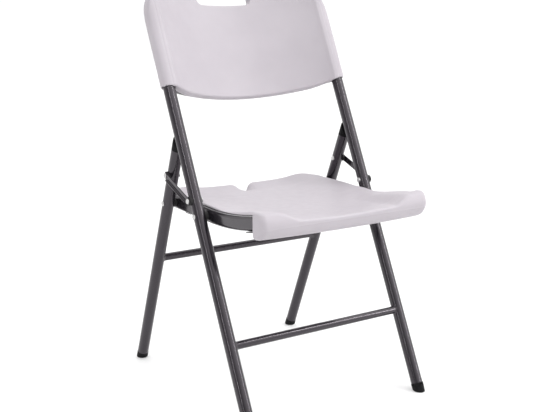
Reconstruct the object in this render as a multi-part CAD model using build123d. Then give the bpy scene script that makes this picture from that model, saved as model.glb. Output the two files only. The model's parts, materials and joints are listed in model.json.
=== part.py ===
from build123d import *
import os
from math import asin, atan2, cos, degrees, hypot, radians, sin, sqrt

# A folding chair with a steel tube frame and a blow-moulded seat and back.
# Millimetres and degrees. The sitter faces -Y, +Z is up and X = 0 is the plane of symmetry.
# Everything is drawn with Y = 0 under the axes of the front feet, then moved so that the origin
# is the middle of the whole chair's footprint, on the floor.

# Frame geometry
frame_width = 430.0            # between the centre lines of the left and right tubes
upright_lean = 26.2            # from vertical, leaning back
rear_leg_lean = 22.7           # from vertical, leaning forward
rear_foot_back = 515.0         # from the front foot axes to the rear foot axes, on the floor
seat_pivot_up = 455.0          # along the upright from the floor
seat_rear_pivot_up = 445.0     # along the rear leg from the floor
link_rear_pivot_up = 515.5     # along the rear leg from the floor
front_bar_up = 185.0           # along the upright from the floor
rear_bar_up = 297.5            # along the rear leg from the floor
back_bar_up = 740.5            # along the upright from the floor
leg_cap_up = 577.0             # along the rear leg, where its black cap starts

# Tubes
leg_diameter = 25.4
leg_wall = 1.2
bar_diameter = 16.8
bar_wall = 1.2
rail_height = 30.0
rail_thickness = 15.0
rail_wall = 1.4
rail_bend_radius = 750.0       # the rails curve up in front of the seat pivot
rail_front = -195.0            # the rails' front ends, measured from the seat pivot
rail_rear = 167.0              # and their rear ends
rail_offset = 4.3              # from the inner side of a leg to the outer face of a rail

# Back panel, measured along the upright from the floor
panel_bottom = 724.0
panel_corner_bottom = 733.5
panel_top = 1000.0
panel_side_wall = 4.8          # plastic outside the tube
panel_thickness = 19.0
panel_sag = 76.5               # depth of the hollow between the two tubes
panel_front_wall = 3.6         # plastic in front of the tube
panel_band_end = 9.0            # the bowed band ends this far inside the axis of each tube
panel_corner_radius = 130.0
plastic_wall = 3.0
pocket_depth_top = 888.0       # where the tubes end inside the panel
slot_width = 136.0
slot_bottom = 946.0
slot_height = 30.0
slot_radius = 12.0
bottom_flat = 150.0            # half of the straight part of the bottom edge

# Seat shell: Y is measured backwards and Z upwards from the seat pivot
seat_front = -221.0            # Y of the foremost point
seat_rear = 199.0              # Y of the rear edge on the centre line
seat_rear_sag = 14.0           # the rear edge curves forward by this at its corners
seat_corner_radius = 34.0
nose_side_gap = 1.0            # from the wide front of the seat to the uprights
nose_depth = 40.0              # the wide front of the seat, front to back
nose_bottom = -13.5            # Z
nose_bulge = 20.0              # Z of the foremost point
nose_top = 41.5                # Z at its raised corners
nose_undercut = 12.0           # the bottom edge lies this far behind the foremost point
nose_top_setback = 6.0         # and the top edge this far
nose_top_fall = 4.0            # the top falls by this towards the back
nose_edge_radius = 7.0
nose_corner_radius = 13.0
lip_thickness = 5.0            # edge of the seat over each rail
body_side_gap = 8.0            # from the inner face of a rail to the seat's hollow body
dish_bottom = 4.5              # Z of the lowest point of the seat surface
dish_centre = 14.0             # Y of it
dish_long_radius = 2750.0      # curvature along the centre line
dish_cross_radius = 600.0      # curvature across the seat
notch_width = 54.0             # V notch in the rear edge
notch_depth = 20.0

# Braces and screws
brace_width = 22.0
brace_thickness = 2.0
front_brace_y = -162.0         # along the rails from the seat pivot
rear_brace_y = 99.0
screw_radius = 2.5
screw_head_radius = 5.0
screw_head_height = 2.4
screw_sink = 1.0               # the panel screws' heads lie this deep
screw_grip = 2.0               # a screw runs this far past the wall it holds
seat_screw_x = 105.0
seat_screw_length = 12.0
panel_screw_low = 772.0        # along the upright
panel_screw_high = 868.0
back_bar_screw_x = 95.0

# Pivots
rivet_radius = 4.0
rivet_head_radius = 5.5
rivet_head_height = 2.2
rivet_dome = 1.8               # radius that rounds a head over
spacer_radius = 9.0
link_spacer = 3.2              # height of a spacer under a link
link_thickness = 2.0
link_width = 13.0
link_flange = 4.3              # the lower edge turns outwards by this
link_flange_wall = 1.8

# Feet and caps
boot_wall = 0.8
boot_height = 17.5             # along the upright
boot_sole = 4.0
rear_foot_height = 5.5         # what shows below the rear leg
rear_foot_wall = 0.5
plug_depth = 16.0              # of plugs inside tubes
plug_flange = 2.0

# Clearances
pivot_clearance = 0.05         # radial, rivet in hole
running_gap = 0.3              # between faces that move past each other
seat_gap = 0.3                 # between a face and the piece it is fastened to
plug_clearance = 0.1           # plug in tube, tube in pocket
fold_gap = 0.6                 # between front foot and rear leg when folded
weld_gap = 0.05                # between a tube and what is welded or riveted tight to it
over = 1.0                     # how far a cut runs past the piece it goes through

# Worked out from the above
half_width = frame_width / 2
leg_radius = leg_diameter / 2
bar_radius = bar_diameter / 2
rail_outer_x = half_width - leg_radius - rail_offset
rail_x = rail_outer_x - rail_thickness / 2
rail_inner_x = rail_outer_x - rail_thickness
hole_radius = rivet_radius + pivot_clearance
leg_outer_x = half_width + leg_radius
leg_inner_x = half_width - leg_radius
spacer_face_x = leg_outer_x + link_spacer
link_inner_x = spacer_face_x + running_gap
link_outer_x = link_inner_x + link_thickness
CENTRE_UP = (Align.CENTER, Align.CENTER, Align.MIN)
SIDES = (("left", -1), ("right", 1))


def upright_frame(side=0):
    """Axes of an upright: X, then backwards square to the tube, then up along it."""
    lean = radians(upright_lean)
    return Plane(origin=(side * half_width, 0, 0), x_dir=(1, 0, 0), z_dir=(0, sin(lean), cos(lean)))


def leg_frame(side=0):
    """Axes of a rear leg: X, then backwards square to the tube, then up along it."""
    lean = radians(rear_leg_lean)
    origin = (side * half_width, rear_foot_back, 0)
    return Plane(origin=origin, x_dir=(1, 0, 0), z_dir=(0, -sin(lean), cos(lean)))


def on_frame(frame, up, back=0.0):
    """Y and Z of the point that lies so far up a tube's axis and so far behind it."""
    point = frame.from_local_coords(Vector(0, back, up))
    return point.Y, point.Z


def rotated(point, angle):
    """A YZ point after a turn about the origin, from +Y towards +Z."""
    turn = radians(angle)
    return point[0] * cos(turn) - point[1] * sin(turn), point[0] * sin(turn) + point[1] * cos(turn)


def distance(first, second):
    return hypot(second[0] - first[0], second[1] - first[1])


def direction(first, second):
    """Angle of the line between two YZ points, from +Y towards +Z."""
    return degrees(atan2(second[1] - first[1], second[0] - first[0]))


# The pivots. Folded, the rear legs lie parallel to the uprights and fold_offset behind them.
# The link's front pivot is the point on the upright that is as far from the link's rear pivot
# folded as it is open, so the linkage closes at both ends of its travel.
fold_offset = leg_diameter + boot_wall + fold_gap
seat_pivot = on_frame(upright_frame(), seat_pivot_up)
seat_rear_pivot = on_frame(leg_frame(), seat_rear_pivot_up)
link_rear_pivot = on_frame(leg_frame(), link_rear_pivot_up)
rail_reach = distance(seat_pivot, seat_rear_pivot)
rail_slope = direction(seat_pivot, seat_rear_pivot)
pivot_spacing = link_rear_pivot_up - seat_rear_pivot_up
folded_rear_up = seat_pivot_up - sqrt(rail_reach**2 - fold_offset**2)
folded_link_up = folded_rear_up + pivot_spacing
folded_seat_rear = on_frame(upright_frame(), folded_rear_up, fold_offset)
folded_link_rear = on_frame(upright_frame(), folded_link_up, fold_offset)
open_local = upright_frame().to_local_coords(Vector(0, *link_rear_pivot))
link_front_pivot_up = (open_local.Z**2 + open_local.Y**2 - folded_link_up**2 - fold_offset**2) / (
    2 * (open_local.Z - folded_link_up)
)
link_front_pivot = on_frame(upright_frame(), link_front_pivot_up)
seat_fold = direction(seat_pivot, seat_rear_pivot) - direction(seat_pivot, folded_seat_rear)
rear_leg_fold = seat_fold - (upright_lean + rear_leg_lean)
link_fold = direction(link_front_pivot, link_rear_pivot) - direction(link_front_pivot, folded_link_rear)

# The uprights end square, so deep in their boots that the lowest edge stands on the sole.
upright_bottom = (boot_sole + leg_radius * sin(radians(upright_lean))) / cos(radians(upright_lean))


def tube(radius, wall, bottom, top):
    """An upright tube between two heights on its own axis."""
    outer = Pos(0, 0, bottom) * Cylinder(radius, top - bottom, align=CENTRE_UP)
    bore = Pos(0, 0, bottom) * Cylinder(radius - wall, top - bottom, align=CENTRE_UP)
    return outer - bore


def rod(radius, bottom, top):
    return Pos(0, 0, bottom) * Cylinder(radius, top - bottom, align=CENTRE_UP)


def cross_rod(pivot, radius, start_x, end_x):
    """A rod along X through a YZ point."""
    low = min(start_x, end_x)
    plane = Plane(origin=(low, *pivot), x_dir=(0, 1, 0), z_dir=(1, 0, 0))
    return plane * Cylinder(radius, abs(end_x - start_x), align=CENTRE_UP)


def rivet_head(pivot, start_x, end_x):
    """A domed head that grows from start_x, its flat face, to end_x."""
    head = cross_rod(pivot, rivet_head_radius, start_x, end_x)
    rim = head.edges().filter_by(GeomType.CIRCLE).sort_by_distance((end_x, *pivot))[0]
    return fillet(rim, rivet_dome)


def above_floor(shape):
    """What is left of a foot above the floor."""
    size = 4 * boot_height
    return shape & (Pos(0, shape.center().Y, 0) * Box(2 * frame_width, size, size, align=CENTRE_UP))


def seat_frame():
    """Axes of the seat: level, with the origin in line with the seat pivots."""
    return Plane(origin=(0, *seat_pivot), x_dir=(1, 0, 0), z_dir=(0, 0, 1))


def rail_point(along, offset):
    """Seat-frame Y and Z of the point so far along a rail's centre line and so far above it.

    The rail is straight behind the seat pivot and follows an arc in front of it.
    """
    turn = min(along, 0) / rail_bend_radius
    radius = rail_bend_radius - offset
    point = max(along, 0) + radius * sin(turn), rail_bend_radius - radius * cos(turn)
    return rotated(point, rail_slope)


def rail_path(offset, front, rear):
    """The rail's centre line moved up by offset, from its rear end to its front end."""
    points = [Vector(0, *rail_point(along, offset)) for along in (rear, 0, front / 2, front)]
    return Line(points[0], points[1]) + ThreePointArc(*points[1:])


def rail_solid(height, thickness, front, rear, grow=0.0):
    """The flat-oval solid that a rail fills, in the seat's frame."""
    path = rail_path(0, front, rear)
    start = Plane(origin=path @ 0, x_dir=(1, 0, 0), z_dir=path % 0)
    section = start * SlotOverall(height + 2 * grow, thickness + 2 * grow, rotation=90)
    return sweep(section, path=path)


# ---------------------------------------------------------------- frame

def upright(side):
    frame = upright_frame(side)
    body = frame * tube(leg_radius, leg_wall, upright_bottom, pocket_depth_top)
    for pivot in (seat_pivot, link_front_pivot):
        body -= cross_rod(pivot, hole_radius, side * (leg_inner_x - over), side * (leg_outer_x + over))
    for up in (panel_screw_low, panel_screw_high):
        body -= panel_screw(side, up, pivot_clearance)
    return body


def rear_leg(side):
    body = leg_frame(side) * tube(leg_radius, leg_wall, rear_foot_height + leg_radius, leg_cap_up)
    for pivot in (seat_rear_pivot, link_rear_pivot):
        body -= cross_rod(pivot, hole_radius, side * (leg_inner_x - over), side * (leg_outer_x + over))
    return body


def leg_envelopes(frame_of):
    """Both legs of a pair as full rods, for cutting what ends on them."""
    return [frame_of(side) * rod(leg_radius + weld_gap, 0, pocket_depth_top) for _, side in SIDES]


def crossbar(frame_of, up):
    centre = on_frame(frame_of(), up)
    bar = cross_rod(centre, bar_radius, -half_width, half_width)
    bar -= cross_rod(centre, bar_radius - bar_wall, -half_width, half_width)
    for leg in leg_envelopes(frame_of):
        bar -= leg
    return bar


def panel_arc_radius():
    reach = half_width - leg_radius
    return (panel_sag**2 + reach**2) / (2 * panel_sag)


def panel_arc_centre():
    """Distance of the arcs' common centre in front of the tubes' axes."""
    return panel_arc_radius() - panel_sag + leg_radius + panel_front_wall


def back_bar(radius):
    """The bowed bar behind the panel, as a full rod of a given radius."""
    bow = panel_arc_radius() + panel_thickness + seat_gap + bar_radius
    centre = -panel_arc_centre()
    end = (half_width, centre + sqrt(bow**2 - half_width**2), back_bar_up)
    path = ThreePointArc((-end[0], end[1], end[2]), (0, centre + bow, back_bar_up), end)
    section = Plane(origin=path @ 0, z_dir=path % 0) * Circle(radius)
    return upright_frame() * sweep(section, path=path)


def back_crossbar():
    bar = back_bar(bar_radius) - back_bar(bar_radius - bar_wall)
    for leg in leg_envelopes(upright_frame):
        bar -= leg
    for side in (-1, 1):
        bar -= back_bar_screw(side, pivot_clearance)
    return bar


def panel_section(inset):
    """The panel's section square to the uprights: a bowed band with a rim round each tube."""
    radius = panel_arc_radius()
    centre = (0, -panel_arc_centre())
    band = Pos(*centre) * (Circle(radius + panel_thickness - inset) - Circle(radius + inset))
    front = -leg_radius - panel_side_wall + inset
    window = Rectangle(2 * (half_width - panel_band_end - inset), radius, align=(Align.CENTER, Align.MIN))
    return band & (Pos(0, front) * window)


def panel_outline(inset):
    """The panel seen square on, in X and height along the upright."""
    side = half_width + leg_radius + panel_side_wall - inset
    bottom = panel_bottom + inset
    corner = panel_corner_bottom + inset
    top = panel_top - inset
    radius = panel_corner_radius - inset
    edge = Line((-bottom_flat, bottom), (bottom_flat, bottom))
    edge += ThreePointArc((bottom_flat, bottom), bend_point(side, bottom, corner), (side, corner))
    edge += Line((side, corner), (side, top - radius))
    edge += RadiusArc((side, top - radius), (side - radius, top), -radius)
    edge += Line((side - radius, top), (radius - side, top))
    edge += RadiusArc((radius - side, top), (-side, top - radius), -radius)
    edge += Line((-side, top - radius), (-side, corner))
    edge += ThreePointArc((-side, corner), bend_point(-side, bottom, corner), (-bottom_flat, bottom))
    return make_face(edge)


def bend_point(side, bottom, corner):
    """Middle of the arc that lifts the bottom edge towards a lower corner."""
    flat = bottom_flat if side > 0 else -bottom_flat
    return (side + flat) / 2, bottom + (corner - bottom) / 4


def slot_outline(grow):
    centre = slot_bottom + slot_height / 2
    shape = RectangleRounded(slot_width + 2 * grow, slot_height + 2 * grow, slot_radius + grow)
    return Pos(0, centre) * shape


def through_panel(face):
    """Extrudes a face drawn in X and height along the upright, front to back through the panel."""
    depth = panel_sag + 3 * panel_thickness
    facing = Plane(origin=(0, 0, 0), x_dir=(1, 0, 0), z_dir=(0, -1, 0))
    return upright_frame() * extrude(facing * face, amount=depth, both=True)


def panel_block(inset):
    section = panel_section(inset)
    if inset == 0:
        for side in (-1, 1):
            section += Pos(side * half_width, 0) * Circle(leg_radius + panel_side_wall)
    block = upright_frame() * (Pos(0, 0, panel_bottom) * extrude(section, amount=panel_top - panel_bottom))
    return block & through_panel(panel_outline(inset))


def back_panel():
    hollow = panel_block(plastic_wall) - through_panel(slot_outline(plastic_wall))
    for _, side in SIDES:
        sleeve = leg_radius + plug_clearance + plastic_wall
        hollow -= upright_frame(side) * rod(sleeve, panel_bottom, panel_top)
    panel = panel_block(0) - hollow - through_panel(slot_outline(0))
    panel -= back_bar(bar_radius + seat_gap)
    for _, side in SIDES:
        pocket = rod(leg_radius + plug_clearance, panel_bottom - over, pocket_depth_top + seat_gap)
        panel -= upright_frame(side) * pocket
        panel -= back_bar_screw(side, pivot_clearance)
        for up in (panel_screw_low, panel_screw_high):
            panel -= panel_screw(side, up, pivot_clearance)
    return panel


def screw(head_face, length, grow=0.0):
    """A screw along local Z: its head lies above head_face and its shank below."""
    shank = rod(screw_radius + grow, head_face - length, head_face)
    head = rod(screw_head_radius + grow, head_face, head_face + screw_head_height)
    return shank + head


def panel_screw(side, up, grow=0.0):
    """From behind, through the panel's rim and both walls of the tube."""
    behind = Plane(origin=(0, 0, up), x_dir=(1, 0, 0), z_dir=(0, 1, 0))
    head_face = leg_radius + panel_side_wall - screw_sink
    return upright_frame(side) * (behind * screw(head_face, head_face + leg_radius, grow))


def back_bar_screw(side, grow=0.0):
    """From behind, through the bowed bar and into the panel's rear wall."""
    bow = panel_arc_radius() + panel_thickness + seat_gap + 2 * bar_radius
    turn = atan2(back_bar_screw_x, bow)
    outward = Vector(side * sin(turn), cos(turn), 0)
    centre = Vector(0, -panel_arc_centre(), back_bar_up)
    behind = Plane(origin=centre + outward * bow, x_dir=(0, 0, 1), z_dir=outward)
    length = 2 * bar_radius + seat_gap + plastic_wall + screw_grip
    return upright_frame() * (behind * screw(0, length, grow))


def front_foot(side):
    frame = upright_frame(side)
    boot = rod(leg_radius + boot_wall, -boot_height, boot_height)
    boot -= rod(leg_radius + plug_clearance, upright_bottom - seat_gap, boot_height)
    return above_floor(frame * boot)


def rear_foot(side):
    start = rear_foot_height + leg_radius
    foot = rod(leg_radius + rear_foot_wall, -boot_height, start - seat_gap)
    foot += rod(leg_radius - leg_wall - plug_clearance, start - seat_gap, start + plug_depth)
    return above_floor(leg_frame(side) * foot)


def leg_cap(side):
    """A wedge on top of the rear leg, cut parallel to the back of the upright it rests against."""
    cap = rod(leg_radius, leg_cap_up + seat_gap, leg_cap_up + 3 * leg_diameter)
    cap += rod(leg_radius - leg_wall - plug_clearance, leg_cap_up - plug_depth, leg_cap_up + seat_gap)
    cap = leg_frame(side) * cap
    reach = 4 * leg_diameter
    keep = Pos(0, leg_radius + running_gap, 0) * Box(
        reach, reach, 2 * panel_top, align=(Align.CENTER, Align.MIN, Align.CENTER)
    )
    return cap & (upright_frame(side) * keep)


# ---------------------------------------------------------------- pivots

def both_sides(make):
    """The left and right copies of a small part as one group of separate solids."""
    return Compound(children=[make(side) for _, side in SIDES])


def through_rivet(pivot, inner_x, outer_x):
    """A rivet with a domed head at each end."""
    def make(side):
        body = cross_rod(pivot, rivet_radius, side * inner_x, side * outer_x)
        body += rivet_head(pivot, side * inner_x, side * (inner_x - rivet_head_height))
        body += rivet_head(pivot, side * outer_x, side * (outer_x + rivet_head_height))
        return body
    return make


def inner_rivet(pivot, inner_x, outer_x):
    """A rivet with its head on the inner side only."""
    def make(side):
        body = cross_rod(pivot, rivet_radius, side * inner_x, side * outer_x)
        return body + rivet_head(pivot, side * inner_x, side * (inner_x - rivet_head_height))
    return make


def saddle_spacer(pivot, frame_of, face_x):
    """A bush between a leg and a flat face, hollowed to sit on the round tube."""
    def make(side):
        bush = cross_rod(pivot, spacer_radius, side * half_width, side * face_x)
        bush -= frame_of(side) * rod(leg_radius + weld_gap, 0, pocket_depth_top)
        return bush - cross_rod(pivot, hole_radius, side * half_width, side * face_x)
    return make


# ---------------------------------------------------------------- links

def link(side):
    """A flat strip with round ends whose lower edge is turned outwards between the rivet heads."""
    length = distance(link_rear_pivot, link_front_pivot)
    centre = (Vector(*link_rear_pivot) + Vector(*link_front_pivot)) / 2
    tilt = radians(direction(link_front_pivot, link_rear_pivot))
    frame = Plane(origin=(0, centre.X, centre.Y), x_dir=(0, cos(tilt), sin(tilt)), z_dir=(1, 0, 0))
    strip = extrude(SlotCenterToCenter(length, link_width), amount=link_thickness)
    flange = Pos(0, -link_width / 2, 0) * Box(
        length - 2 * (rivet_head_radius + seat_gap), link_flange_wall, link_thickness + link_flange,
        align=(Align.CENTER, Align.MIN, Align.MIN)
    )
    body = Pos(0, 0, link_inner_x) * (strip + flange)
    if side < 0:
        body = body.mirror(Plane.XY)
    body = frame * body
    for pivot in (link_front_pivot, link_rear_pivot):
        body -= cross_rod(pivot, hole_radius, side * (link_inner_x - over), side * (link_outer_x + over))
    return body


def link_rear_head(side):
    """The outer end of the rivet that joins the link to the rear leg."""
    body = cross_rod(link_rear_pivot, rivet_radius, side * link_inner_x, side * link_outer_x)
    end = link_outer_x + rivet_head_height
    return body + rivet_head(link_rear_pivot, side * link_outer_x, side * end)


# ---------------------------------------------------------------- seat

def seat_rail(side):
    rail = rail_solid(rail_height, rail_thickness, rail_front, rail_rear)
    rail -= rail_solid(rail_height - 2 * rail_wall, rail_thickness - 2 * rail_wall, rail_front, rail_rear)
    rail = seat_frame() * (Pos(side * rail_x, 0, 0) * rail)
    for pivot in (seat_pivot, seat_rear_pivot):
        rail -= cross_rod(pivot, hole_radius, side * (rail_inner_x - over), side * (rail_outer_x + over))
    return rail


def seat_rail_plug(side):
    height = rail_height - 2 * rail_wall - 2 * plug_clearance
    thickness = rail_thickness - 2 * rail_wall - 2 * plug_clearance
    path = rail_path(0, rail_front, rail_rear)
    behind = Plane(origin=path @ 0, x_dir=(1, 0, 0), z_dir=-(path % 0))
    insert = Pos(0, 0, -plug_depth) * extrude(
        SlotOverall(height, thickness, rotation=90), amount=plug_depth + seat_gap
    )
    flange = extrude(SlotOverall(rail_height, rail_thickness, rotation=90), amount=plug_flange)
    plug = behind * (insert + Pos(0, 0, seat_gap) * flange)
    return seat_frame() * (Pos(side * rail_x, 0, 0) * plug)


def seat_plan(inset):
    """The seat from above: wide at the nose, rounded at the rear corners, with a V notch."""
    nose_half = leg_inner_x - nose_side_gap - inset
    lip_half = rail_outer_x - inset
    front = seat_front + inset
    rear = seat_rear - inset
    corner_y = rear - seat_rear_sag
    nose = Pos(0, front + nose_depth / 2) * RectangleRounded(
        2 * nose_half, nose_depth, nose_corner_radius
    )
    edge = Line((-lip_half, front + nose_depth / 2), (-lip_half, corner_y))
    edge += ThreePointArc((-lip_half, corner_y), (0, rear), (lip_half, corner_y))
    edge += Line((lip_half, corner_y), (lip_half, front + nose_depth / 2))
    edge += Line((lip_half, front + nose_depth / 2), (-lip_half, front + nose_depth / 2))
    body = make_face(edge)
    corners = body.vertices().sort_by(Axis.Y)[-2:]
    body = fillet(corners, seat_corner_radius)
    notch = make_face(Polyline(
        (-notch_width / 2 - inset, rear + inset + over),
        (0, seat_rear - notch_depth - inset),
        (notch_width / 2 + inset, rear + inset + over),
        close=True,
    ))
    return nose + body - notch


def nose_profile(inset):
    """The thick front of the seat in section, front to back."""
    front = seat_front + inset
    back = seat_front + nose_depth - inset
    bottom = nose_bottom + inset
    top = nose_top - inset
    edge = Polyline(
        (0, front + nose_undercut, bottom),
        (0, front, nose_bulge),
        (0, front + nose_top_setback, top),
        (0, back, top - nose_top_fall),
        (0, back, bottom),
        close=True,
    )
    face = make_face(edge)
    round_edges = face.vertices().sort_by(Axis.Y)[:3]
    return fillet(round_edges, nose_edge_radius)


def band_profile(low, high):
    """A band that follows the rails from the nose to the rear edge, between two offsets."""
    front = seat_front + nose_depth / 2
    upper = rail_path(high, front, seat_rear)
    lower = rail_path(low, front, seat_rear)
    edge = upper + lower
    edge += Line(upper @ 0, lower @ 0)
    edge += Line(upper @ 1, lower @ 1)
    return make_face(edge)


def dish(inset):
    """The body that hollows the top of the seat, lowered by inset."""
    lift = Pos(0, dish_centre, dish_bottom + dish_long_radius - inset)
    return lift * (Rot(0, 90, 0) * Torus(dish_long_radius - dish_cross_radius, dish_cross_radius))


def across_seat(face, half):
    """Extrudes a face drawn in the YZ plane to both sides."""
    return extrude(face, amount=half, dir=(1, 0, 0), both=True)


def seat_block(inset):
    """The seat in its own frame with every outer face moved in by inset."""
    nose_half = leg_inner_x - nose_side_gap
    lip_top = rail_height / 2 + seat_gap + lip_thickness
    body_half = rail_inner_x - body_side_gap
    low = -rail_height / 2 + seat_gap + inset
    block = across_seat(nose_profile(inset), nose_half)
    block += across_seat(band_profile(low, lip_top - inset), body_half - inset)
    if inset == 0:
        block += across_seat(band_profile(lip_top - lip_thickness, lip_top), rail_outer_x)
    plan = extrude(seat_plan(inset), amount=nose_top + rail_height, both=True)
    return (block & plan) - dish(inset)


def seat_shell():
    shell = seat_block(0) - seat_block(plastic_wall)
    for _, side in SIDES:
        shell -= Pos(side * rail_x, 0, 0) * rail_solid(
            rail_height, rail_thickness, rail_front - seat_gap, rail_rear + plug_flange, seat_gap)
    shell = seat_frame() * shell
    for _, side in SIDES:
        for along in (front_brace_y, rear_brace_y):
            shell -= seat_screw(side, along, pivot_clearance)
    return shell


def brace_plane(along):
    """A plane on the under side of the rails, square to their centre line."""
    tilt = min(along, 0) / rail_bend_radius + radians(rail_slope)
    under = Vector(0, *rail_point(along, -rail_height / 2))
    local = Plane(origin=under, x_dir=(1, 0, 0), z_dir=(0, -sin(tilt), cos(tilt)))
    return seat_frame() * local


def seat_brace(along, half_length):
    low = -brace_thickness - seat_gap
    brace = Pos(0, 0, low) * Box(2 * half_length, brace_width, brace_thickness, align=CENTRE_UP)
    brace = brace_plane(along) * brace
    for _, side in SIDES:
        brace -= seat_screw(side, along, pivot_clearance)
    return brace


def seat_screw(side, along, grow=0.0):
    """From below, through a brace and into the seat's lower wall."""
    head_face = -brace_thickness - seat_gap
    below = Plane(origin=(side * seat_screw_x, 0, head_face), x_dir=(1, 0, 0), z_dir=(0, 0, -1))
    return brace_plane(along) * (below * screw(0, seat_screw_length, grow))


# ---------------------------------------------------------------- all the nodes

def build():
    nodes = {
        "front_crossbar": crossbar(upright_frame, front_bar_up),
        "back_crossbar": back_crossbar(),
        "back_panel": back_panel(),
        "back_panel_screws": Compound(children=[
            panel_screw(side, up) for _, side in SIDES for up in (panel_screw_low, panel_screw_high)
        ]),
        "back_crossbar_screws": both_sides(back_bar_screw),
        "seat_pivot_rivets": both_sides(through_rivet(seat_pivot, rail_inner_x - running_gap, leg_outer_x)),
        "seat_pivot_spacers": both_sides(
            saddle_spacer(seat_pivot, upright_frame, rail_outer_x + running_gap)),
        "link_front_rivets": both_sides(
            through_rivet(link_front_pivot, leg_inner_x, link_outer_x + running_gap)),
        "link_front_spacers": both_sides(saddle_spacer(link_front_pivot, upright_frame, spacer_face_x)),
        "seat_shell": seat_shell(),
        "seat_front_brace": seat_brace(front_brace_y, rail_outer_x),
        "seat_rear_brace": seat_brace(rear_brace_y, rail_x),
        "seat_screws": Compound(children=[
            seat_screw(side, y) for _, side in SIDES for y in (front_brace_y, rear_brace_y)
        ]),
        "seat_rail_plugs": both_sides(seat_rail_plug),
        "rear_crossbar": crossbar(leg_frame, rear_bar_up),
        "seat_rear_rivets": both_sides(
            through_rivet(seat_rear_pivot, rail_inner_x - running_gap, leg_outer_x)),
        "seat_rear_spacers": both_sides(
            saddle_spacer(seat_rear_pivot, leg_frame, rail_outer_x + running_gap)),
        "link_rear_rivets": both_sides(inner_rivet(link_rear_pivot, leg_inner_x, spacer_face_x)),
        "link_rear_spacers": both_sides(saddle_spacer(link_rear_pivot, leg_frame, spacer_face_x)),
    }
    per_side = {
        "upright": upright,
        "front_foot": front_foot,
        "seat_rail": seat_rail,
        "rear_leg": rear_leg,
        "leg_cap": leg_cap,
        "rear_foot": rear_foot,
        "link": link,
        "link_rear_head": link_rear_head,
    }
    for name, make in per_side.items():
        for word, side in SIDES:
            nodes[f"{name}_{word}"] = make(side)
    return nodes


os.makedirs("parts", exist_ok=True)
chair = build()
box = Compound(list(chair.values())).bounding_box()
to_origin = Location((-box.center().X, -box.center().Y, -box.min.Z))
for name, shape in chair.items():
    export_step(shape.moved(to_origin), f"parts/{name}.step")

print("size", box.size)
for name, pivot in (
    ("seat_pivot", seat_pivot),
    ("seat_rear_pivot", seat_rear_pivot),
    ("link_rear_pivot", link_rear_pivot),
    ("link_front_pivot", link_front_pivot),
):
    print(name, "y", pivot[0] - box.center().Y, "z", pivot[1] - box.min.Z)
print("folds: seat", seat_fold, "rear legs on seat", rear_leg_fold, "links", link_fold)
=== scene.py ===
import json
from math import atan2, cos, hypot, pi, radians, sin

import bmesh
import bpy
import numpy as np
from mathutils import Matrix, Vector


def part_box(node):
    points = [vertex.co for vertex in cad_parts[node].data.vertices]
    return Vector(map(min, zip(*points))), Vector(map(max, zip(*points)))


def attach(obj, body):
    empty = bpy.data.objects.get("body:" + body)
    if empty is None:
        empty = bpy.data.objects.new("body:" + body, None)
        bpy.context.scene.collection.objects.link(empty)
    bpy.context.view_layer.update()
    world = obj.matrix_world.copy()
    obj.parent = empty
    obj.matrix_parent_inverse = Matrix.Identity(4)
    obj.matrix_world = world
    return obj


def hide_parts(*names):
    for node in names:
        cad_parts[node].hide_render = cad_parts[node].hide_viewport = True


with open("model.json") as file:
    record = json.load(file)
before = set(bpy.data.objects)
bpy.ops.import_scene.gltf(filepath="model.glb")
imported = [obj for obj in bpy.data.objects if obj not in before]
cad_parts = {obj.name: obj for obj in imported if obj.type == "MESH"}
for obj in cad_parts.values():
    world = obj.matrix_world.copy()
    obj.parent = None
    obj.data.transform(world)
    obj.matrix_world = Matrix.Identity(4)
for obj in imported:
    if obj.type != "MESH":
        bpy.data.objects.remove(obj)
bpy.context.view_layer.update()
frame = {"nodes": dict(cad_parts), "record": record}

# ------------------------------------------------------------ the chair's own axes
# Shapes are drawn in millimetres, with Y = 0 under the axes of the front feet, as the CAD model
# is. foot_y moves them into the row frame, and MM turns them into Blender's metres.
MM = 0.001
UPRIGHT_LEAN = radians(26.2)    # backwards from the vertical
LEG_LEAN = radians(22.7)        # forwards from the vertical
REAR_FOOT_Y = 515.0             # the rear legs' axes at the floor
HALF_WIDTH = 215.0              # from the plane of symmetry to the tubes' axes
TUBE_R = 12.7
BAR_R = 8.4                     # of the two straight crossbars
SEAT_PIVOT_UP = 455.0           # along the uprights from the floor
FRONT_BAR_UP = 185.0
REAR_BAR_UP = 297.5             # along the rear legs from the floor
LINK_REAR_UP = 515.5
LEG_CAP_UP = 577.0
INSET = 0.05                    # keeps a modelled face just inside its CAD solid
SIDES = (("left", -1), ("right", 1))
joints = {j["name"]: j for j in frame["record"]["behaviour"]["joints"]}


def joint_yz(name):
    """Y and Z of a joint's axis, in millimetres."""
    return [c / MM for c in joints[name]["pos_m"]][1:]


seat_pivot = joint_yz("seat_fold")
seat_rear_pivot = joint_yz("rear_leg_swing")
link_front_pivot = joint_yz("link_left_swing")
foot_y = seat_pivot[0] - SEAT_PIVOT_UP * sin(UPRIGHT_LEAN)


def level(x, y, z):
    """Plain axes, moved from the front feet to the row frame."""
    return x, y + foot_y, z


def on_upright(x, back, up):
    """Point so far up the uprights' line and so far behind it, in the row frame."""
    y = up * sin(UPRIGHT_LEAN) + back * cos(UPRIGHT_LEAN)
    z = up * cos(UPRIGHT_LEAN) - back * sin(UPRIGHT_LEAN)
    return level(x, y, z)


def on_leg(x, back, up):
    """Point so far up the rear legs' line and so far behind it, in the row frame."""
    y = REAR_FOOT_Y - up * sin(LEG_LEAN) + back * cos(LEG_LEAN)
    z = up * cos(LEG_LEAN) + back * sin(LEG_LEAN)
    return level(x, y, z)


# ------------------------------------------------------------ implicit bodies
# A body is a function that is negative inside it and grows by about 1 per mm.

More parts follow.
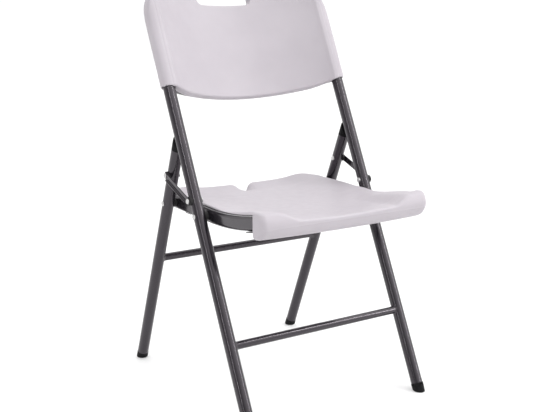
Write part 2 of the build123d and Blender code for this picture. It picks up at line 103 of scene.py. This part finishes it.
def meet(a, b, r):
    """Both at once, with the edge between them rounded to radius r."""
    u = np.maximum(a + r, 0)
    v = np.maximum(b + r, 0)
    return np.minimum(np.maximum(a, b), -r) + np.hypot(u, v)


def join(a, b, r):
    """Either of two, with the corner between them filled to radius r."""
    return -meet(-a, -b, r)


def step(low, high, v):
    """Smooth change from 0 where v is low to 1 where v is high, whichever of the two is larger."""
    t = np.clip((v - low) / (high - low), 0, 1)
    return t * t * (3 - 2 * t)


def rounded_box(u, v, half_u, half_v, r):
    """A rectangle round 0, 0 with corners of radius r."""
    du = np.abs(u) - half_u + r
    dv = np.abs(v) - half_v + r
    outside = np.hypot(np.maximum(du, 0), np.maximum(dv, 0))
    return outside + np.minimum(np.maximum(du, dv), 0) - r


def surface_points(values, low, pitch):
    """A point in each grid cell that the surface crosses, and the number of each cell's point."""
    counts = values.shape
    cells = tuple(n - 1 for n in counts)
    total = np.zeros(cells + (3,))
    hits = np.zeros(cells)
    for axis in range(3):
        others = [a for a in range(3) if a != axis]
        for i in (0, 1):
            for j in (0, 1):
                start = [slice(0, n - 1) for n in counts]
                start[others[0]] = slice(i, counts[others[0]] - 1 + i)
                start[others[1]] = slice(j, counts[others[1]] - 1 + j)
                end = list(start)
                end[axis] = slice(1, counts[axis])
                a = values[tuple(start)]
                b = values[tuple(end)]
                cross = (a < 0) != (b < 0)
                part = np.where(cross, a / np.where(cross, a - b, 1), 0)
                total[..., axis] += part
                total[..., others[0]] += cross * i
                total[..., others[1]] += cross * j
                hits += cross
    active = hits > 0
    number = np.full(cells, -1)
    number[active] = np.arange(active.sum())
    corner = np.argwhere(active)
    points = low + pitch * (corner + total[active] / hits[active][:, None])
    return points, number


def surface_quads(values, number):
    """A quad round each grid edge that the surface crosses, with its front outwards."""
    counts = values.shape
    quads = []
    for axis in range(3):
        p, q = [a for a in range(3) if a != axis]
        inner = [slice(1, n - 1) for n in counts]
        inner[axis] = slice(0, counts[axis] - 1)
        end = list(inner)
        end[axis] = slice(1, counts[axis])
        a = values[tuple(inner)] < 0
        b = values[tuple(end)] < 0
        at = np.argwhere(a != b)
        leaving = a[tuple(at.T)]
        at[:, p] += 1
        at[:, q] += 1
        ring = []
        for dp, dq in ((1, 1), (0, 1), (0, 0), (1, 0)):
            cell = at.copy()
            cell[:, p] -= dp
            cell[:, q] -= dq
            ring.append(number[tuple(cell.T)])
        ring = np.stack(ring, 1)
        outward = leaving if axis != 1 else ~leaving
        ring[~outward] = ring[~outward][:, ::-1]
        quads.append(ring)
    return np.concatenate(quads)


def slope_at(field, points, reach=0.15):
    """The field's slope at some points."""
    slope = []
    for axis in range(3):
        shift = np.zeros(3)
        shift[axis] = reach
        slope.append((field(*(points + shift).T) - field(*(points - shift).T)) / (2 * reach))
    return np.stack(slope, 1)


def settle(field, points, reach):
    """Moves points down the field's slope onto field = 0, by no more than reach at a time."""
    for _ in range(4):
        slope = slope_at(field, points)
        steepness = np.maximum((slope**2).sum(1), 0.05)[:, None]
        move = field(*points.T)[:, None] * slope / steepness
        length = np.linalg.norm(move, axis=1)[:, None]
        points = points - move * np.minimum(1, reach / np.maximum(length, 1e-9))
    return points


def skin(name, field, low, high, pitch, place):
    """A smooth quad mesh on field = 0 between two corners. place turns its axes into the row frame."""
    pitch = np.array(pitch, float)
    low = np.array(low, float) - 2 * pitch
    counts = [int(np.ceil((h - l) / p)) + 3 for l, h, p in zip(low, high, pitch)]
    axes = [l + p * np.arange(n) for l, p, n in zip(low, pitch, counts)]
    values = field(*np.meshgrid(*axes, indexing="ij"))
    points, number = surface_points(values, low, pitch)
    quads = surface_quads(values, number)
    points = settle(field, points, pitch.min() / 2)
    ahead = points + slope_at(field, points) * 0.01
    points = np.stack(place(*points.T), 1)
    normals = np.stack(place(*ahead.T), 1) - points
    normals /= np.maximum(np.linalg.norm(normals, axis=1), 1e-9)[:, None]
    mesh = bpy.data.meshes.new(name)
    mesh.from_pydata((points * MM).tolist(), [], quads.tolist())
    mesh.polygons.foreach_set("use_smooth", [True] * len(mesh.polygons))
    mesh.normals_split_custom_set_from_vertices(normals.tolist())
    mesh.validate()
    piece = bpy.data.objects.new(name, mesh)
    bpy.context.collection.objects.link(piece)
    return piece


def finish_piece(piece, body, slot, *nodes):
    """Gives a piece its material and the body it moves with, and hides the CAD nodes that it stands for.
    """
    piece.data.materials.append(looks[slot])
    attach(piece, body)
    if nodes:
        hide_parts(*nodes)


# ------------------------------------------------------------ materials

def new_material(name):
    material = bpy.data.materials.new(name)
    material.use_nodes = True
    tree = material.node_tree
    return material, tree, tree.nodes["Principled BSDF"]


def noise(tree, scale, detail, rough=0.55):
    """Noise fixed to the piece, so many to the metre as scale says."""
    where = tree.nodes.new("ShaderNodeTexCoord")
    texture = tree.nodes.new("ShaderNodeTexNoise")
    texture.inputs["Scale"].default_value = scale
    texture.inputs["Detail"].default_value = detail
    texture.inputs["Roughness"].default_value = rough
    tree.links.new(where.outputs["Object"], texture.inputs["Vector"])
    return texture.outputs["Fac"]


def ramp(tree, value, low, high, low_at=0.3, high_at=0.7):
    """Maps a value to a blend of two colours."""
    node = tree.nodes.new("ShaderNodeValToRGB")
    node.color_ramp.elements[0].position = low_at
    node.color_ramp.elements[0].color = (*low, 1)
    node.color_ramp.elements[1].position = high_at
    node.color_ramp.elements[1].color = (*high, 1)
    tree.links.new(value, node.inputs["Fac"])
    return node.outputs["Color"]


def span(tree, value, low, high, from_low=0.3, from_high=0.7):
    """Maps a range of a value to another range, and holds it there."""
    node = tree.nodes.new("ShaderNodeMapRange")
    node.inputs["From Min"].default_value = from_low
    node.inputs["From Max"].default_value = from_high
    node.inputs["To Min"].default_value = low
    node.inputs["To Max"].default_value = high
    tree.links.new(value, node.inputs["Value"])
    return node.outputs["Result"]


def bump(tree, shader, *layers):
    """Stacks bumps of (height socket, strength, distance in metres)."""
    last = None
    for height, strength, distance in layers:
        node = tree.nodes.new("ShaderNodeBump")
        node.inputs["Strength"].default_value = strength
        node.inputs["Distance"].default_value = distance
        tree.links.new(height, node.inputs["Height"])
        if last:
            tree.links.new(last, node.inputs["Normal"])
        last = node.outputs["Normal"]
    tree.links.new(last, shader.inputs["Normal"])


def painted_edge_highlight(tree, shader, tone, highlight_colour, low, high):
    """Colours the shader with tone, and paints a lighter highlight colour onto convex edges as their
    pointiness passes from low to high.
    """
    geometry = tree.nodes.new("ShaderNodeNewGeometry")
    # Painted highlight: convex edges are made lighter in colour.
    edge = span(tree, geometry.outputs["Pointiness"], 0.0, 1.0, low, high)
    mix = tree.nodes.new("ShaderNodeMix")
    mix.data_type = "RGBA"
    mix.inputs["B"].default_value = (*highlight_colour, 1)
    tree.links.new(edge, mix.inputs["Factor"])
    tree.links.new(tone, mix.inputs["A"])
    tree.links.new(mix.outputs["Result"], shader.inputs["Base Color"])


def shell_plastic():
    """Blow-moulded polyethylene: pale grey with a lilac tint, finely grained, a little waxy."""
    material, tree, shader = new_material("shell_plastic")
    tone = ramp(tree, noise(tree, 9, 3), (0.405, 0.375, 0.407), (0.435, 0.405, 0.437))
    # Painted highlight: convex edges of the pale plastic are made lighter.
    painted_edge_highlight(tree, shader, tone, (0.5, 0.475, 0.505), 0.51, 0.6)
    tree.links.new(span(tree, noise(tree, 60, 4), 0.42, 0.54), shader.inputs["Roughness"])
    shader.inputs["Subsurface Weight"].default_value = 0.08
    shader.inputs["Subsurface Radius"].default_value = (0.006, 0.005, 0.005)
    shader.inputs["Specular IOR Level"].default_value = 0.35
    bump(
        tree, shader,
        (noise(tree, 14, 2), 0.12, 0.0015),
        (noise(tree, 700, 2), 0.16, 0.00025),
        (noise(tree, 2600, 1), 0.12, 0.00008),
    )
    return material


def frame_paint():
    """Gunmetal powder coat with a fine metallic flake and a soft orange peel."""
    material, tree, shader = new_material("frame_paint")
    flake = noise(tree, 3800, 1, 0.5)
    tone = ramp(tree, flake, (0.0095, 0.0085, 0.0108), (0.0165, 0.015, 0.0182), 0.35, 0.75)
    # Painted highlight: the sharpest convex edges of the paint are made lighter.
    painted_edge_highlight(tree, shader, tone, (0.035, 0.033, 0.036), 0.7, 0.9)
    shader.inputs["Metallic"].default_value = 0.05
    shader.inputs["Specular Tint"].default_value = (1.0, 0.92, 1.0, 1)
    shader.inputs["Specular IOR Level"].default_value = 0.7
    tree.links.new(span(tree, noise(tree, 90, 3), 0.12, 0.19), shader.inputs["Roughness"])
    bump(tree, shader, (noise(tree, 420, 2), 0.03, 0.0002), (flake, 0.02, 0.00005))
    return material


def black_plastic():
    """Satin black moulding, finely grained, with a lighter painted highlight on its convex edges."""
    material, tree, shader = new_material("black_plastic")
    tone = ramp(tree, noise(tree, 120, 3), (0.005, 0.005, 0.0055), (0.011, 0.0105, 0.0115))
    # Painted highlight: convex edges of the black plastic are made lighter.
    painted_edge_highlight(tree, shader, tone, (0.04, 0.038, 0.04), 0.53, 0.7)
    tree.links.new(span(tree, noise(tree, 200, 4), 0.42, 0.6), shader.inputs["Roughness"])
    shader.inputs["Specular IOR Level"].default_value = 0.09
    bump(tree, shader, (noise(tree, 1500, 2), 0.2, 0.00015))
    return material


def bare_steel():
    """Zinc-plated steel with a fine grain and a dull bloom."""
    material, tree, shader = new_material("bare_steel")
    bloom = noise(tree, 380, 4)
    tone = ramp(tree, bloom, (0.42, 0.42, 0.43), (0.66, 0.65, 0.64))
    tree.links.new(tone, shader.inputs["Base Color"])
    shader.inputs["Metallic"].default_value = 1.0
    tree.links.new(span(tree, bloom, 0.24, 0.4), shader.inputs["Roughness"])
    bump(tree, shader, (noise(tree, 1800, 3), 0.12, 0.0001))
    return material


def plain_floor():
    """A pale sweep that glows a little, so that it stays as pale as the light behind it."""
    material, tree, shader = new_material("plain_floor")
    tone = ramp(tree, noise(tree, 3, 2), (0.62, 0.62, 0.62), (0.64, 0.64, 0.64))
    tree.links.new(tone, shader.inputs["Base Color"])
    shader.inputs["Roughness"].default_value = 0.7
    shader.inputs["Emission Color"].default_value = (1, 1, 1, 1)
    shader.inputs["Emission Strength"].default_value = 0.27
    return material


looks = {
    "shell_plastic": shell_plastic(),
    "frame_paint": frame_paint(),
    "black_plastic": black_plastic(),
    "bare_steel": bare_steel(),
}

# ------------------------------------------------------------ seat
RAIL_BEND = 750.0               # radius of the rails' curve ahead of the pivot
RAIL_HALF = 15.0
RAIL_SLOPE = (seat_rear_pivot[1] - seat_pivot[1]) / (seat_rear_pivot[0] - seat_pivot[0])
SEAT_Y = seat_pivot[0] - foot_y
SEAT_Z = seat_pivot[1]
BODY_HALF = 174.5               # the moulding between the rails
BEHIND_RAILS = SEAT_Y + 171.5   # where the moulding reaches its full width
LIP_GAP = 0.3                   # between the rails and the moulding's lip over them
UNDERSIDE_UP = 1.2              # above the rails' lower edge

BOWL_LOW = 413.5                # height of the sitting surface at its lowest
THIGH_RISE = 13.0
REAR_RISE = 8.0
SIDE_RISE = 10.5
SHOULDER_RISE = 4.3             # near the side edges, with a little more beside the hips
HIP_RISE = 2.2
BOLSTER_RISE = 13.5             # at each front corner
LUMP_RISE = 4.0                 # on both sides of the notch
VALLEY_DEPTH = 15.0             # in front of the notch

PLAN_HALF = 191.5               # half the width over the rails
PLAN_MIDDLE_Y = 193.0
PLAN_HALF_LENGTH = 206.6
PLAN_CORNER_R = 34.0
PLAN_BOW = 14.0                 # of the rear edge
NOTCH_TIP_Y = 384.0
NOTCH_SLOPE = np.arctan2(27.0, 20.0)
NOTCH_R = 7.0                   # of the corners at its mouth
CONE_PITCH = 56.0
CONE_HEIGHT = 9.0
CONE_FOOT_R = 14.0
CONE_TIP_R = 4.0
REAR_BRACE_Y = 301.0            # no cone's axis lies within half a pitch of it

NOSE_FRONT = -19.1
NOSE_REAR = 19.5
NOSE_HALF = 201.1
NOSE_BOTTOM = 394.9
NOSE_FULL_Z = 427.0             # where the front face stands out furthest
SEAM_Z = 420.5                  # the parting line
SEAM_HEIGHT = 0.5
SEAM_WIDTH = 1.3


def rail_line(y):
    """Height of the rails' centre line."""
    ahead = np.clip(SEAT_Y - y, 0, 400)
    return SEAT_Z + RAIL_SLOPE * (y - SEAT_Y) + RAIL_BEND - np.sqrt(RAIL_BEND**2 - ahead**2)


def seat_top(across, y):
    """Height of the sitting surface: a bowl, raised towards its edges, corners and thighs."""
    centre = BOWL_LOW + THIGH_RISE * (np.clip(260 - y, 0, 300) / 260) ** 2
    centre = centre + REAR_RISE * (np.clip(y - 345, 0, 60) / 50) ** 2
    sides = SIDE_RISE * (across / 190) ** 2
    beside_hips = step(210, 260, y) * (1 - step(350, 385, y))
    shoulder = (across / 195) ** 4 * (SHOULDER_RISE + HIP_RISE * beside_hips) * step(130, 190, y)
    bolster = BOLSTER_RISE * step(112, 160, across) * (1 - step(15, 165, y))
    lump = LUMP_RISE * np.exp(-(((across - 150) / 32) ** 2)) * step(340, 392, y)
    valley = VALLEY_DEPTH * np.exp(-((across / 14) ** 2)) * step(350, 392, y)
    return centre + sides + shoulder + bolster + lump - valley


def seat_plan(across, y):
    """The seat behind its front edge, from above: over the rails, with a bowed rear edge and a V notch."""
    bowed = y + PLAN_BOW * (across / 198) ** 2 * step(150, 300, y)
    plan = rounded_box(across, bowed - PLAN_MIDDLE_Y, PLAN_HALF, PLAN_HALF_LENGTH, PLAN_CORNER_R)
    notch = across * cos(NOTCH_SLOPE) - (y - NOTCH_TIP_Y) * sin(NOTCH_SLOPE)
    return meet(plan, -notch, NOTCH_R)


def seat_cones(across, y):
    """Height of the moulded cones on the under side that tie the two skins together."""
    half = CONE_PITCH / 2
    u = (across + half) % CONE_PITCH - half
    v = (y - 49) % CONE_PITCH - half
    column = across - u
    row = y - v
    cone = 1 - step(CONE_TIP_R, CONE_FOOT_R, np.hypot(u, v))
    inside = (column < 140) & (row > 60) & (row < 370) & (np.abs(row - REAR_BRACE_Y) > half)
    return CONE_HEIGHT * cone * inside


def seat_nose(across, y, z, top):
    """The thick front edge: upright ends, an undercut front face and a faint parting ridge."""
    undercut = 12.0 + 10.0 * (across / 190) ** 2
    above = np.clip(z - NOSE_FULL_Z, 0, 40)
    below = np.clip(NOSE_FULL_Z - z, 0, 40)
    seam = SEAM_HEIGHT * np.exp(-(((z - SEAM_Z) / SEAM_WIDTH) ** 2))
    front = (NOSE_FRONT - seam + above**2 / 50.0 + undercut * (below / 31.0) ** 2 - y) * 0.9
    nose = meet(front, across - NOSE_HALF, 12.0)
    nose = meet(nose, NOSE_BOTTOM - z, 11.0)
    nose = meet(nose, y - NOSE_REAR, 2.0)
    return meet(nose, top, 5.0)


def seat_field(x, y, z):
    """A deep body between the rails, a thinner lip over them, and the nose in front."""
    across = np.abs(x)
    top = (z - seat_top(across, y)) * 0.97
    underside = rail_line(y) - RAIL_HALF + UNDERSIDE_UP + seat_cones(across, y)
    inside_rails = join(across - BODY_HALF, BEHIND_RAILS - y, 3.0)
    body = meet(inside_rails, underside - z, 6.0)
    lip = rail_line(y) + RAIL_HALF + LIP_GAP - z
    edge = 3.0 + 6.0 * (1 - step(70, 160, y))
    rear = meet(join(body, lip, 4.0), meet(seat_plan(across, y), top, edge), 1.2)
    return join(rear, seat_nose(across, y, z, top), 2.0)


def chair_box(node):
    """A node's box with Y measured from the front feet, in millimetres."""
    low, high = ([c / MM for c in corner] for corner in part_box(node))
    return (low[0], low[1] - foot_y, low[2]), (high[0], high[1] - foot_y, high[2])


seat_piece = skin("seat_moulding", seat_field, *chair_box("seat_shell"), (2.4, 2.4, 1.5), level)
finish_piece(seat_piece, "seat", "shell_plastic", "seat_shell")

# ------------------------------------------------------------ back panel
PANEL_SAG = 76.5                # how far its middle lies behind its sides
PANEL_THICK = 19.0
PANEL_FRONT_WALL = 3.6          # over the tubes
PANEL_SIDE_WALL = 4.8
PANEL_BOTTOM = 724.0            # along the uprights
PANEL_TOP = 1000.0
SOCKET_TOP = 872.0
SOCKET_GAP = 0.25
ARC_R = (PANEL_SAG**2 + (HALF_WIDTH - TUBE_R) ** 2) / (2 * PANEL_SAG)
ARC_BACK = ARC_R - PANEL_SAG + TUBE_R + PANEL_FRONT_WALL
PANEL_HALF = HALF_WIDTH + TUBE_R + PANEL_SIDE_WALL
BAND_END = 8.0                  # from a tube's axis to the end of the bowed band
BAND_FRONT = -14.6
CORNER_RISE = 9.0               # of the lower edge at its ends
TOP_CORNER_R = 130.0
BOTTOM_CORNER_R = 3.0
SLOT_MIDDLE = 961.0
SLOT_HALF = (68.0, 15.0)
SLOT_CORNER_R = 12.0
MARGIN = 0.4                    # keeps the mesh inside the CAD panel


def panel_field(x, back, up):
    """A bowed hollow band with a round rim over each tube, a hand-hold slot and tube sockets."""
    across = np.abs(x)
    ring = np.hypot(across, back + ARC_BACK)
    band = np.maximum(ARC_R + MARGIN - ring, ring - ARC_R - PANEL_THICK + MARGIN)
    band = np.maximum(band, across - HALF_WIDTH + BAND_END)
    band = np.maximum(band, BAND_FRONT - back)
    tube = np.hypot(across - HALF_WIDTH, back) - TUBE_R
    rim = tube - PANEL_SIDE_WALL + MARGIN
    section = join(band, rim, 5.0)
    bottom = PANEL_BOTTOM + MARGIN + CORNER_RISE * step(150, 245, across)
    centre = (bottom + PANEL_TOP - MARGIN) / 2
    half = (PANEL_TOP - MARGIN - bottom) / 2
    corner = np.where(up > centre, TOP_CORNER_R, BOTTOM_CORNER_R)
    outline = rounded_box(across, up - centre, PANEL_HALF - MARGIN, half, corner)
    slot = rounded_box(across, up - SLOT_MIDDLE, *SLOT_HALF, SLOT_CORNER_R)
    outline = meet(outline, -slot, 5.0)
    shape = meet(section, outline, 4.5)
    socket = np.maximum(tube - SOCKET_GAP, up - SOCKET_TOP)
    return meet(shape, -socket, 1.2)


panel_piece = skin(
    "back_moulding", panel_field, (-PANEL_HALF, -20, PANEL_BOTTOM), (PANEL_HALF, 82, PANEL_TOP),
    (2.4, 2.0, 2.4), on_upright
)
finish_piece(panel_piece, "front_frame", "shell_plastic", "back_panel")

# ------------------------------------------------------------ feet and caps
BOOT_WALL = 0.8
BOOT_HEIGHT = 17.5
BOOT_SOLE = 11.0                # the tube stands on it
REAR_FOOT_HEIGHT = 5.5
REAR_FOOT_WALL = 0.5
CAP_LENGTH = 42.0
CAP_GAP = 0.5                   # between the cap and the upright it stops against


def boot_field(x, back, up):
    """A boot round the lower end of an upright, cut to the floor with a softened sole edge."""
    radius = np.hypot(x, back)
    height = up * cos(UPRIGHT_LEAN) - back * sin(UPRIGHT_LEAN)
    flare = 0.5 * step(12, 3, height)
    body = meet(radius - TUBE_R - BOOT_WALL + flare, up - BOOT_HEIGHT + 2 * INSET, 0.7)
    body = meet(body, -height, 1.6)
    return meet(body, -np.maximum(radius - TUBE_R - INSET, BOOT_SOLE - up), 0.3)


def rear_foot_field(x, back, up):
    """A plug's rounded head below the rear leg, flat where it stands."""
    radius = np.hypot(x, back)
    height = up * cos(LEG_LEAN) + back * sin(LEG_LEAN)
    side = radius - TUBE_R - REAR_FOOT_WALL + 2 * INSET
    body = meet(side, up - REAR_FOOT_HEIGHT - TUBE_R + 0.4, 0.8)
    return meet(body, -height, 3.0)


def cap_field(x, back, up):
    """A wedge whose face lies along the back of the upright."""
    y = REAR_FOOT_Y - up * sin(LEG_LEAN) + back * cos(LEG_LEAN)
    z = up * cos(LEG_LEAN) + back * sin(LEG_LEAN)
    behind = y * cos(UPRIGHT_LEAN) - z * sin(UPRIGHT_LEAN)
    body = meet(np.hypot(x, back) - TUBE_R + INSET, LEG_CAP_UP + 0.35 - up, 0.8)
    return meet(body, TUBE_R + CAP_GAP - behind, 2.2)


def at_side(place, side, start=0.0):
    """Moves a shape drawn round a leg's axis out to that leg, and up it to start."""
    return lambda x, back, up: place(x + side * HALF_WIDTH, back, up + start)


for word, side in SIDES:
    reach = TUBE_R + 1
    for name, field, start, end, place, body in (
        ("front_foot", boot_field, -8, BOOT_HEIGHT, on_upright, "front_frame"),
        ("rear_foot", rear_foot_field, -8, REAR_FOOT_HEIGHT + TUBE_R, on_leg, "rear_legs"),
        ("leg_cap", cap_field, LEG_CAP_UP, LEG_CAP_UP + CAP_LENGTH, on_leg, "rear_legs"),
    ):
        node = f"{name}_{word}"
        piece = skin(
            f"{node}_moulding", field, (-reach, -reach, start), (reach, reach, end),
            (0.9, 0.9, 0.9), at_side(place, side)
        )
        finish_piece(piece, body, "black_plastic", node)

# ------------------------------------------------------------ links
LINK_HALF_WIDTH = 6.5
LINK_THICK = 2.0
LINK_FLANGE = 4.3               # how far the turned edge stands out
LINK_FLANGE_WALL = 1.8
SPACER = 3.2                    # between a tube and its link
LINK_GAP = 0.3
LINK_INNER_X = HALF_WIDTH + TUBE_R + SPACER + LINK_GAP
RIVET_CLEAR = 5.8               # from a rivet's axis to the turned edge
link_rear_pivot = on_leg(0, 0, LINK_REAR_UP)[1:]
link_run = [r - f for f, r in zip(link_front_pivot, link_rear_pivot)]
LINK_LENGTH = hypot(*link_run)
link_tilt = atan2(link_run[1], link_run[0])


def link_field(out, along, above):
    """A pressed strip with round ends; its lower edge is turned outwards between the rivets."""
    past = along - np.clip(along, 0, LINK_LENGTH)
    faces = np.abs(out - LINK_THICK / 2) - (LINK_THICK / 2 - INSET)
    strip = meet(np.hypot(past, above) - LINK_HALF_WIDTH + INSET, faces, 0.5)
    middle = np.abs(along - LINK_LENGTH / 2) - LINK_LENGTH / 2 + RIVET_CLEAR
    wall = np.abs(above + LINK_HALF_WIDTH - LINK_FLANGE_WALL / 2) - LINK_FLANGE_WALL / 2 + INSET
    ends = np.maximum(2 * INSET - out, out - LINK_THICK - LINK_FLANGE + 2 * INSET)
    flange = meet(wall, ends, 0.5)
    taper = 0.6 * np.clip(out - LINK_THICK, 0, 9)
    flange = meet(flange, middle + taper, 0.8)
    return join(strip, flange, 1.4)


def on_link(side):
    """From the link's own axes to the row frame."""
    inner = LINK_INNER_X if side > 0 else -LINK_INNER_X - LINK_THICK - LINK_FLANGE

    def place(out, along, above):
        y = link_front_pivot[0] + along * cos(link_tilt) - above * sin(link_tilt)
        z = link_front_pivot[1] + along * sin(link_tilt) + above * cos(link_tilt)
        return inner + out, y, z
    return place


def link_from(side):
    """The link itself on the right, and on the left its mirror image, measured from its outer edge."""
    if side > 0:
        return link_field
    return lambda x, along, above: link_field(LINK_THICK + LINK_FLANGE - x, along, above)


for word, side in SIDES:
    piece = skin(
        f"link_{word}_pressing", link_from(side), (0, -LINK_HALF_WIDTH, -LINK_HALF_WIDTH),
        (LINK_THICK + LINK_FLANGE, LINK_LENGTH + LINK_HALF_WIDTH, LINK_HALF_WIDTH),
        (0.6, 0.8, 0.6), on_link(side)
    )
    finish_piece(piece, f"link_{word}", "frame_paint", f"link_{word}")

# ------------------------------------------------------------ welds
WELD_R = 3.6
WELD_RIPPLES = 26               # round the bar
RIPPLE_HEIGHT = 0.3
SUNK = 0.2                      # how far under both tubes' skins it is drawn
WELD_DEPTH = 2.2                # how far it reaches into the leg


def weld_field(side):
    """The bead between a leg and the end of a crossbar, round the leg's axis."""
    def field(x, back, up):
        inward = -side * x
        radius = np.hypot(x, back)
        leg = radius - TUBE_R + SUNK
        bar = np.maximum(np.hypot(back, up) - BAR_R + SUNK, -inward)
        ripple = RIPPLE_HEIGHT * np.sin(WELD_RIPPLES * np.arctan2(back, up))
        bead = join(leg, bar, WELD_R + ripple)
        ball = np.sqrt((inward - TUBE_R * 0.8) ** 2 + back**2 + up**2) - BAR_R - WELD_R + 0.4
        return np.maximum(np.maximum(bead, ball), TUBE_R - WELD_DEPTH - radius)
    return field


for word, side in SIDES:
    size = BAR_R + WELD_R + 2
    low_x, high_x = sorted((-side * (TUBE_R + WELD_R + 4), side * 2.0))
    for name, place, up, body in (
        ("front_weld", on_upright, FRONT_BAR_UP, "front_frame"),
        ("rear_weld", on_leg, REAR_BAR_UP, "rear_legs"),
    ):
        piece = skin(
            f"{name}_{word}", weld_field(side), (low_x, -size, -size), (high_x, size, size),
            (0.8, 0.8, 0.8), at_side(place, side, up)
        )
        finish_piece(piece, body, "frame_paint")

# ------------------------------------------------------------ finish of the CAD nodes
slot_of = {s["node"]: s["material_slot"] for s in frame["record"]["subparts"]}
for name, piece in frame["nodes"].items():
    look = looks[slot_of[name]]
    if not piece.material_slots:
        piece.data.materials.append(look)
    for material_slot in piece.material_slots:
        material_slot.link = "OBJECT"
        material_slot.material = look

# ------------------------------------------------------------ stage
FLOOR_HALF = 12.0               # metres
FLOOR_DROP = 0.0004             # under the feet's soles

floor_mesh = bpy.data.meshes.new("floor")
shape = bmesh.new()
bmesh.ops.create_grid(shape, x_segments=8, y_segments=8, size=FLOOR_HALF)
shape.to_mesh(floor_mesh)
shape.free()
floor_mesh.materials.append(plain_floor())
floor = bpy.data.objects.new("floor", floor_mesh)
floor.location.z = -FLOOR_DROP
bpy.context.collection.objects.link(floor)

# The room is pale behind and above the chair and dimmer in front, so that its tubes read dark.
world = bpy.data.worlds.new("studio")
world.use_nodes = True
bpy.context.scene.world = world
world_tree = world.node_tree
sky = world_tree.nodes["Background"]
sky.inputs["Color"].default_value = (1, 1, 1, 1)
direction = world_tree.nodes.new("ShaderNodeTexCoord")


def towards(aim, low, high, from_low, from_high):
    """World light that grows from low to high as its direction nears aim."""
    node = world_tree.nodes.new("ShaderNodeVectorMath")
    node.operation = "DOT_PRODUCT"
    node.inputs[1].default_value = Vector(aim).normalized()
    world_tree.links.new(direction.outputs["Generated"], node.inputs[0])
    return span(world_tree, node.outputs["Value"], low, high, from_low, from_high)


brighter = world_tree.nodes.new("ShaderNodeMath")
brighter.operation = "MAXIMUM"
world_tree.links.new(towards((0.25, 1, 0), 0.4, 1.04, -0.4, 0.2), brighter.inputs[0])
world_tree.links.new(towards((0.4, -0.2, 0.9), 0.4, 1.95, 0.2, 0.8), brighter.inputs[1])
world_tree.links.new(brighter.outputs["Value"], sky.inputs["Strength"])


def aimed_light(name, place, target, size, power):
    """A rectangular light at a place, turned to a target."""
    data = bpy.data.lights.new(name, "AREA")
    data.shape = "RECTANGLE"
    data.size, data.size_y = size
    data.energy = power
    light = bpy.data.objects.new(name, data)
    light.location = place
    light.rotation_euler = (Vector(target) - Vector(place)).to_track_quat("-Z", "Y").to_euler()
    bpy.context.collection.objects.link(light)


aimed_light("right_strip", (1.56, -1.56, 1.6), (0, 0, 0.6), (0.09, 2.4), 18)
aimed_light("left_strip", (-1.9, -1.1, 1.6), (0, 0, 0.6), (0.09, 2.4), 11)
aimed_light("back", (0.4, 2.4, 1.6), (0, 0, 0.5), (0.16, 2.0), 4)

CAMERA_PLACE = (-1034.1, -1355.6, 811.2)        # millimetres, in the axes of the seat's shapes
CAMERA_TURN = radians(-32.73)
CAMERA_DIP = radians(14.85)
SENSOR = 36.0                                   # millimetres
LENS = 58.163
PICTURE_SHIFT = 0.07273                         # upwards, as a share of the width

camera_data = bpy.data.cameras.new("camera")
camera_data.sensor_fit = "HORIZONTAL"
camera_data.sensor_width = SENSOR
camera_data.lens = LENS
camera_data.shift_y = PICTURE_SHIFT
camera_data.clip_start = 0.01
camera = bpy.data.objects.new("camera", camera_data)
camera.location = [c * MM for c in level(*CAMERA_PLACE)]
camera.rotation_euler = (pi / 2 - CAMERA_DIP, 0, CAMERA_TURN)
bpy.context.collection.objects.link(camera)
bpy.context.scene.camera = camera
bpy.context.scene.view_settings.view_transform = "Standard"
